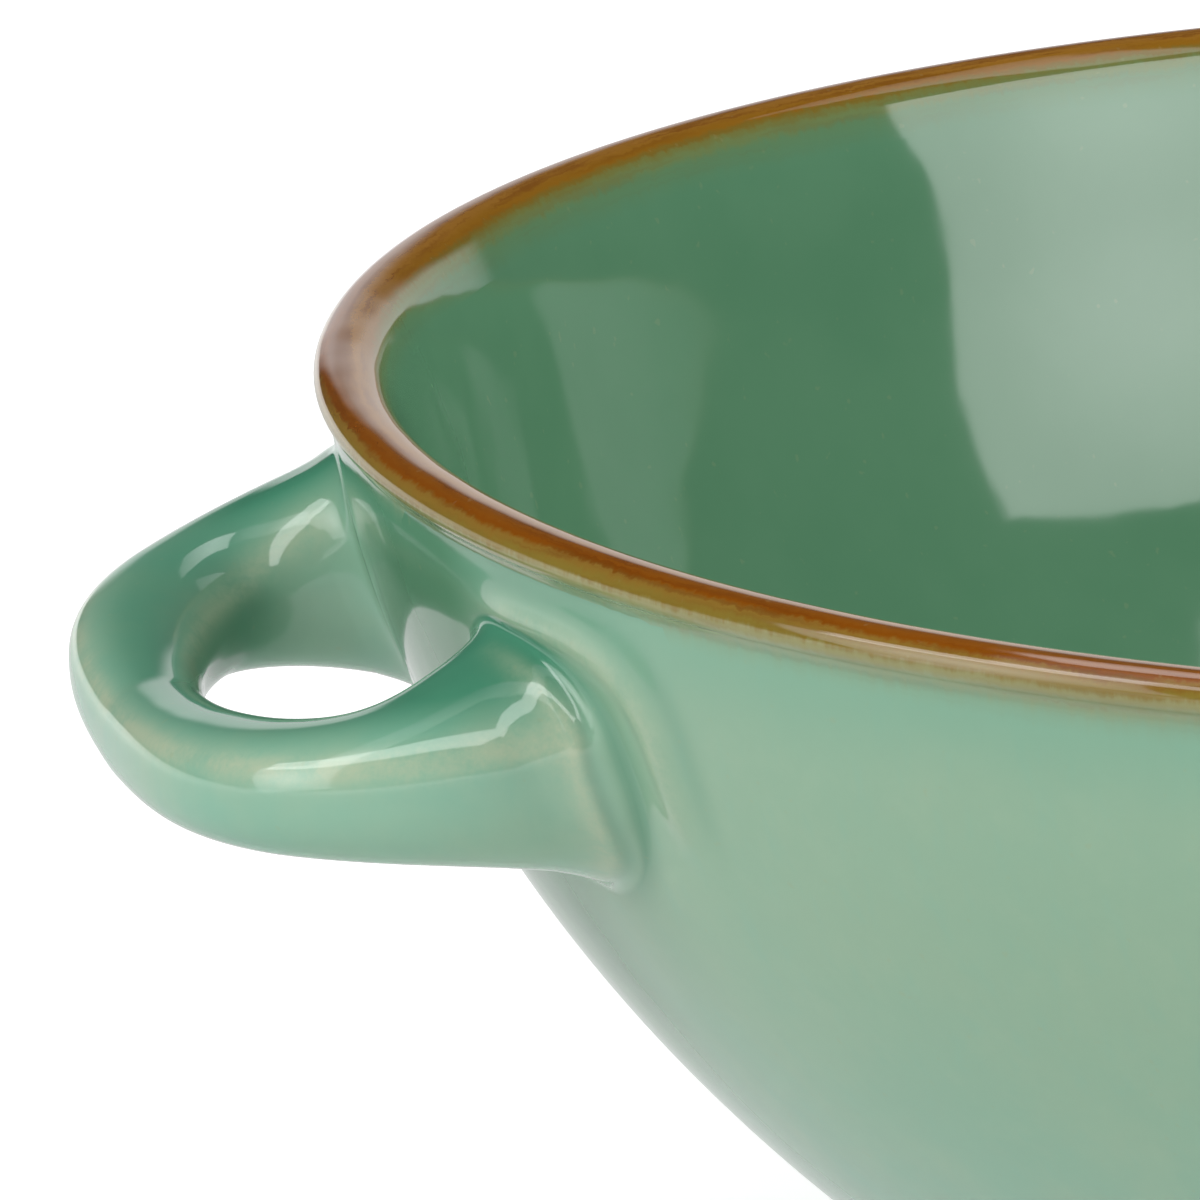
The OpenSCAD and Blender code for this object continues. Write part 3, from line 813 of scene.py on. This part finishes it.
def rectangle_lamp(name, width, height, radiance):
    data = bpy.data.lights.new(name, "AREA")
    data.shape = "RECTANGLE"
    data.size, data.size_y = width, height
    data.energy = radiance * math.pi * width * height
    lamp = bpy.data.objects.new(name, data)
    bpy.context.scene.collection.objects.link(lamp)
    n = Nodes(data, clear=False)
    n.place = n.add("ShaderNodeNewGeometry").outputs["Parametric"]
    n.glow = next(node for node in n.tree.nodes if node.type == "EMISSION")
    return lamp, n


def softbox(name, azimuth, elevation, distance, width, height, radiance, roll=0.0, core=0.0, x=0.0):
    """A rectangular lamp around the bowl; azimuth runs from -Y towards +X, in degrees.
    With core above 0 its middle is brighter than its edges, by that share."""
    lamp, n = rectangle_lamp(name, width, height, radiance)
    az, el = math.radians(azimuth), math.radians(elevation)
    way = Vector((math.sin(az) * math.cos(el), -math.cos(az) * math.cos(el), math.sin(el)))
    lamp.location = Vector((x, 0, 0.045)) + way * distance
    turn = way.to_track_quat("Z", "Y").to_matrix() @ Matrix.Rotation(math.radians(roll), 3, "Z")
    lamp.rotation_euler = turn.to_euler()
    if core:
        away = n.add("ShaderNodeVectorMath", set_operation="DISTANCE", i0=n.place, i1=(0.5, 0.5, 0.0))
        n.put(n.glow, "Strength", n.steps(away.outputs["Value"], 0.0, 0.55, 1.0 + core, 1.0 - core))


def panel(name, x, y, height, length, width, turn, radiance):
    """A long lamp that hangs level over the bowl; turn is from +Y towards +X, in degrees.
    It is dimmer towards its far end."""
    lamp, n = rectangle_lamp(name, width, length, radiance)
    lamp.location = (x, y, height)
    lamp.rotation_euler = (0, 0, -math.radians(turn))
    along = n.add("ShaderNodeSeparateXYZ", Vector=n.place).outputs[1]
    n.put(n.glow, "Strength", n.steps(along, 0.35, 0.95, 1.15, 0.3, kind="LINEAR"))


def make_lights():
    softbox("box_right", 42, 22, 0.70, 0.56, 0.66, 5.2, roll=-17, core=0.22)
    softbox("box_left", -80, 20, 0.70, 0.36, 0.56, 3.4, roll=21, core=0.35)
    softbox("box_high", -56, 51, 0.75, 1.10, 0.20, 4.6, x=-0.075)
    panel("panel_far", 0.01, 0.50, 0.75, 0.56, 0.20, 31, 3.0)
    panel("panel_middle", -0.29, 0.16, 0.75, 0.34, 0.20, 50, 0.9)
    panel("panel_near", -0.56, -0.02, 0.75, 0.36, 0.20, 64, 2.4)
    panel("panel_side", 0.40, 0.15, 0.75, 0.80, 0.18, 0, 2.0)


def make_camera():
    data = bpy.data.cameras.new("camera")
    data.lens = 360
    data.sensor_width = 36
    data.sensor_fit = "AUTO"
    data.clip_start = 0.01
    data.clip_end = 30
    camera = bpy.data.objects.new("camera", data)
    right = Vector((0.9706, -0.2395, -0.0252)).normalized()
    back = Vector((-0.2244, -0.9375, 0.2661)).normalized()
    up = back.cross(right).normalized()
    right = up.cross(back)
    turn = Matrix((right, up, back)).transposed().to_4x4()
    camera.matrix_world = Matrix.Translation(Vector((-186.30, -536.08, 199.75)) * MM) @ turn
    bpy.context.scene.collection.objects.link(camera)
    bpy.context.scene.camera = camera


bpy.context.scene.view_settings.view_transform = "Standard"
bowl, coat, foot, handles = make_bowl(), make_coat(), make_foot(), make_handles()
wall_glaze, arm_glaze = glaze("green_glaze_wall", rim=True), glaze("green_glaze_handles")
for piece, material in ((bowl, wall_glaze), (coat, wall_glaze), (foot, clay("foot_clay_and_glaze"))):
    paint(piece, material)
for piece in handles:
    paint(piece, arm_glaze)
make_stage()
make_world()
make_lights()
make_camera()
